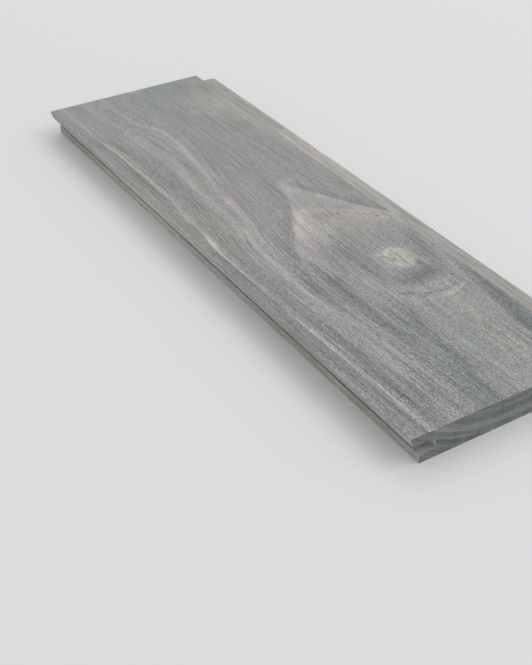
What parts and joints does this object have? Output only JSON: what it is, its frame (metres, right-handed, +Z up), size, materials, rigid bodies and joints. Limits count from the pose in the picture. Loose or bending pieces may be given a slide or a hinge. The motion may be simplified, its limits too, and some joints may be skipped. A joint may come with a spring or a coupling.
{
  "type": "tongue and groove wood siding board",
  "caption": "Flat-faced softwood siding board, milled with a tongue along one edge and a matching groove along the other, with a grey weathered stain.",
  "frame": {"origin": "on the back of the board, at half its length, midway between the upper lip's arris and the tongue's tip", "axes": "+X across the board from the groove to the tongue, +Y along the grain, +Z up from the back to the face"},
  "size_m": [0.147, 0.4572, 0.0191],
  "materials": {
    "stained_wood": "softwood with a matte grey weathering stain that lets the grain and the knot show"
  },
  "bodies": {
    "root": {"board": "stained_wood"}
  },
  "joints": []
}
